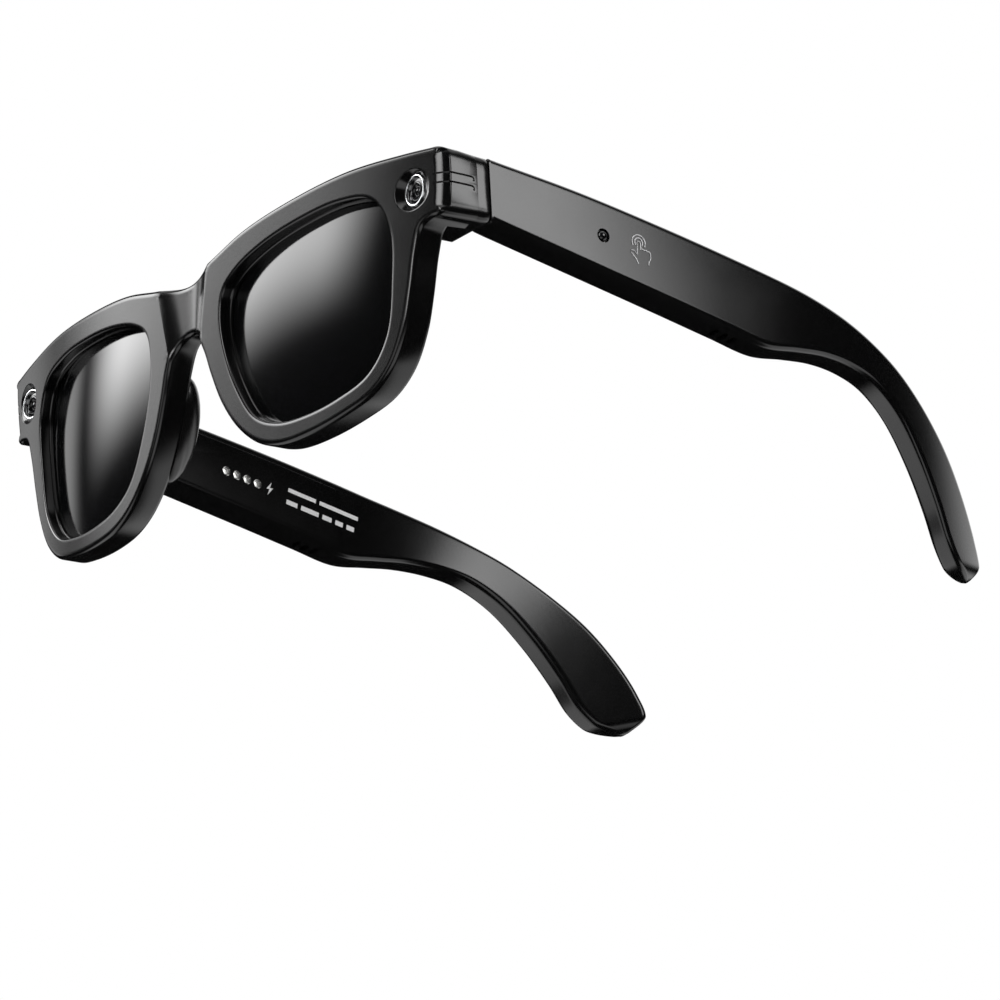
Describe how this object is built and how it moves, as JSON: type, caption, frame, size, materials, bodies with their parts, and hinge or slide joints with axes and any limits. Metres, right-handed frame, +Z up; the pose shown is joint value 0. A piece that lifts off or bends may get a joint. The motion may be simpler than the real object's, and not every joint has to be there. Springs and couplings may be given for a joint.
{
  "type": "smart glasses",
  "caption": "Thick black camera glasses with tinted lenses, camera openings in the end pieces, and folding temples that hold the electronics.",
  "frame": {"origin": "middle of the footprint on the level surface that the rims and the temple tips stand on", "axes": "+X to the wearer's left, across the face; +Y backwards along the temples; +Z up from the surface"},
  "size_m": [0.148, 0.149, 0.0485],
  "materials": {
    "frame_black": "satin gloss moulded black, bright on the edges",
    "lens_tint": "dark grey tinted lens, polished",
    "pad_black": "gloss black, smooth",
    "ring_steel": "polished, turned",
    "window_black": "black glass, polished",
    "hinge_steel": "brushed",
    "contact_silver": "plated, light brushed",
    "black_part": "matte black, fine grain",
    "board": "green solder mask",
    "cable": "amber film",
    "cell": "silver foil pouch",
    "magnet": "nickel plated",
    "sensor_gold": "thin gold film"
  },
  "bodies": {
    "front": {"brow_cover": "frame_black", "camera_module_left": "black_part", "camera_module_right": "black_part", "camera_ring_left": "ring_steel", "camera_ring_right": "ring_steel", "camera_window_left": "window_black", "camera_window_right": "window_black", "front_cable": "cable", "front_hinge_left": "hinge_steel", "front_hinge_right": "hinge_steel", "front_rim": "frame_black", "hinge_pin_left": "hinge_steel", "hinge_pin_right": "hinge_steel", "lens_left": "lens_tint", "lens_right": "lens_tint", "nose_pad_left": "pad_black", "nose_pad_right": "pad_black"},
    "left_temple": {"left_battery": "cell", "left_board": "board", "left_cable": "cable", "left_inner_cover": "frame_black", "left_microphone": "magnet", "left_speaker": "black_part", "left_temple_hinge": "hinge_steel", "left_temple_shell": "frame_black", "status_dome": "window_black", "touch_strip": "sensor_gold"},
    "right_temple": {"button_switch": "magnet", "charge_contact_1": "contact_silver", "charge_contact_2": "contact_silver", "charge_contact_3": "contact_silver", "charge_contact_4": "contact_silver", "charge_magnet_1": "magnet", "charge_magnet_2": "magnet", "main_board": "board", "right_battery": "cell", "right_cable": "cable", "right_inner_cover": "frame_black", "right_microphone": "magnet", "right_speaker": "black_part", "right_temple_hinge": "hinge_steel", "right_temple_shell": "frame_black"},
    "capture_button": {"capture_button": "frame_black"}
  },
  "joints": [
    {"name": "left_fold", "type": "hinge", "parent": "front", "child": "left_temple", "pos_m": [0.0654, -0.05467, 0.03973], "axis": [0, -0.1089, 0.994], "range_deg": [0, 85]},
    {"name": "right_fold", "type": "hinge", "parent": "front", "child": "right_temple", "pos_m": [-0.0654, -0.05467, 0.03973], "axis": [0, 0.1089, -0.994], "range_deg": [0, 72]},
    {"name": "button_press", "type": "slide", "parent": "right_temple", "child": "capture_button", "axis": [0, -0.0338, -0.9994], "range_m": [0, 0.0004], "stiffness_N_per_m": 1200}
  ]
}
